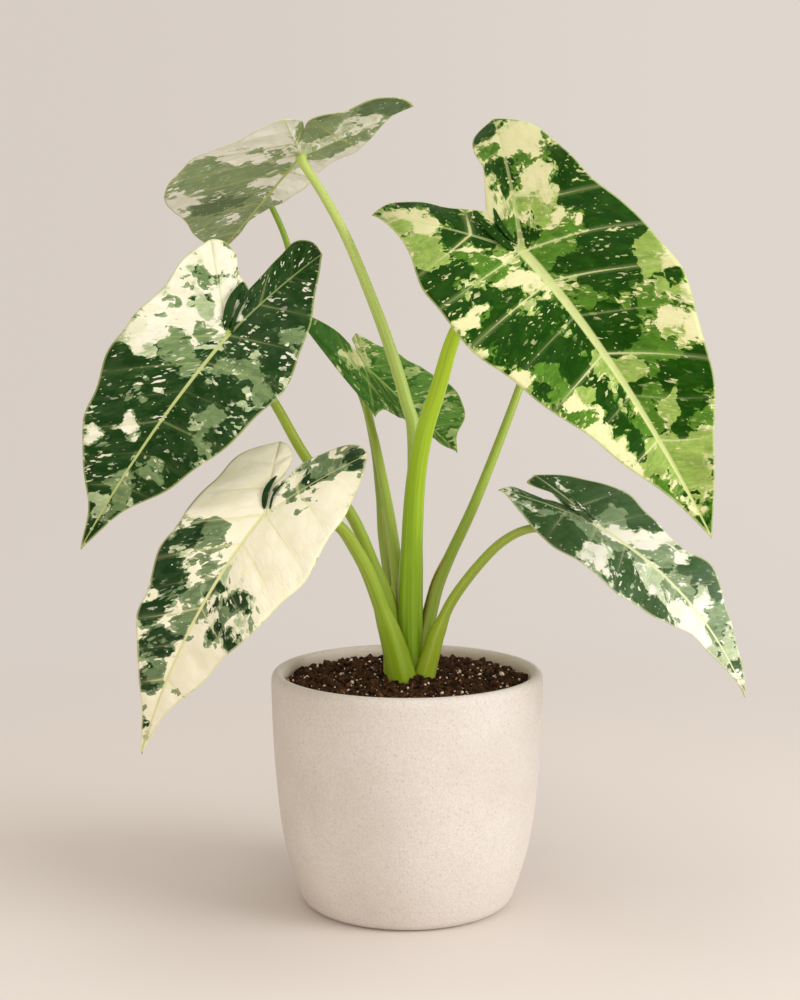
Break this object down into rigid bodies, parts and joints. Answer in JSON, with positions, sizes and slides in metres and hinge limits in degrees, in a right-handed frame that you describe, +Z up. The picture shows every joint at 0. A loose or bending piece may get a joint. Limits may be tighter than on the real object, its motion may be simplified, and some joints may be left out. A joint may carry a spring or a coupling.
{
  "type": "variegated alocasia frydek in a pot",
  "caption": "Variegated alocasia in a round stoneware pot: arrow-shaped leaves marbled in dark green, grey-green and cream on arching stalks.",
  "frame": {"origin": "the middle of the flat underside of the pot", "axes": "+Z up through the pot, +X to the viewer's right and -Y towards the viewer, as in the picture"},
  "size_m": [0.378, 0.3591, 0.4831],
  "materials": {
    "pot": "matt, fine-grained, sand-coloured stoneware",
    "soil": "dark brown potting mix with bark and white perlite",
    "rootstock": "rough brown bark-like skin",
    "stalk": "smooth, yellow-green, finely ribbed",
    "blade_lime": "satin leaf, bright green, cream and dark green marbling",
    "blade_dark": "satin leaf, dark green with grey-green and white marbling",
    "blade_cream": "satin leaf, mostly cream with dark green patches",
    "blade_under": "satin leaf seen from below, dull grey-green and cream"
  },
  "bodies": {
    "root": {"pot": "pot", "soil": "soil", "rootstock": "rootstock", "stalk_right_large": "stalk", "stalk_left_high": "stalk", "stalk_left_low": "stalk", "stalk_right_low": "stalk", "stalk_top_back": "stalk", "stalk_mid_back": "stalk", "stalk_hid_right": "stalk", "stalk_hid_top": "stalk", "blade_right_large": "blade_lime", "blade_left_high": "blade_dark", "blade_left_low": "blade_cream", "blade_right_low": "blade_dark", "blade_top_back": "blade_under", "blade_mid_back": "blade_dark", "blade_hid_right": "blade_dark", "blade_hid_top": "blade_dark"}
  },
  "joints": []
}
